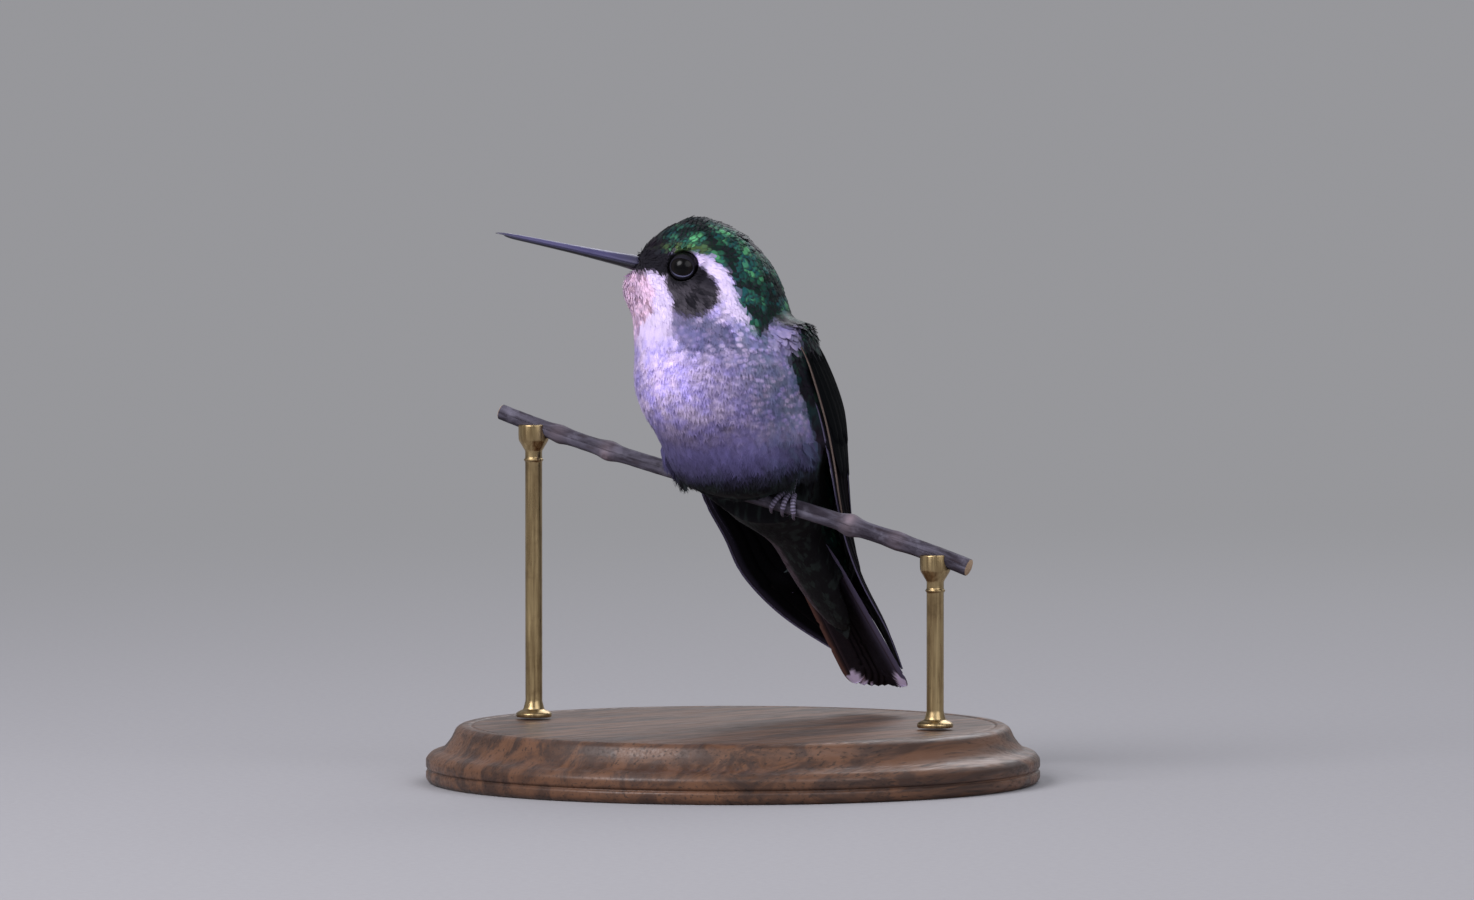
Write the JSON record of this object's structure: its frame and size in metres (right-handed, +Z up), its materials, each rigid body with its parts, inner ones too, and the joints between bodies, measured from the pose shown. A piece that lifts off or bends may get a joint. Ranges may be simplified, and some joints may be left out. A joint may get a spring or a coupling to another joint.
{
  "type": "hummingbird",
  "caption": "Life-size hummingbird perched on a cut twig, head turned aside, wings and tail folded, on a round display stand.",
  "frame": {"origin": "centre of the stand's underside, straight below the perch point", "axes": "+Z up; the bird's body faces -Y and its left side is +X"},
  "size_m": [0.086, 0.086, 0.0794],
  "materials": {
    "coat_green": "soft plumage with bright green metallic scales",
    "coat_pale": "soft matt plumage, lavender white",
    "coat_grey": "soft matt plumage, grey lavender to dusky",
    "covert_feather": "small overlapping feathers, dark with a green sheen",
    "flight_feather": "stiff flight feathers, blackish, satin",
    "tail_feather": "stiff tail feathers, dusky with pale tips, satin",
    "bill_horn": "smooth dark horn, satin gloss",
    "eye_surface": "wet black eye, high gloss",
    "leg_skin": "scaled skin, dusky",
    "claw_horn": "smooth horn",
    "twig_bark": "dry purple-brown bark",
    "base_wood": "dark stained wood, satin",
    "rod_brass": "satin brass"
  },
  "bodies": {
    "root": {"head": "coat_green", "neck": "coat_pale", "trunk": "coat_grey", "rump": "coat_grey", "wing_left_coverts": "covert_feather", "wing_right_coverts": "covert_feather", "wing_left_secondaries": "flight_feather", "wing_right_secondaries": "flight_feather", "wing_left_primaries": "flight_feather", "wing_right_primaries": "flight_feather", "tail": "tail_feather", "bill_upper": "bill_horn", "bill_lower": "bill_horn", "eye_left": "eye_surface", "eye_right": "eye_surface", "leg_left": "leg_skin", "leg_right": "leg_skin", "toe_left_inner": "leg_skin", "toe_left_middle": "leg_skin", "toe_left_outer": "leg_skin", "toe_left_hind": "leg_skin", "toe_right_inner": "leg_skin", "toe_right_middle": "leg_skin", "toe_right_outer": "leg_skin", "toe_right_hind": "leg_skin", "claw_left_inner": "claw_horn", "claw_left_middle": "claw_horn", "claw_left_outer": "claw_horn", "claw_left_hind": "claw_horn", "claw_right_inner": "claw_horn", "claw_right_middle": "claw_horn", "claw_right_outer": "claw_horn", "claw_right_hind": "claw_horn", "perch": "twig_bark", "stand_base": "base_wood", "stand_rod_left": "rod_brass", "stand_rod_right": "rod_brass"}
  },
  "joints": []
}
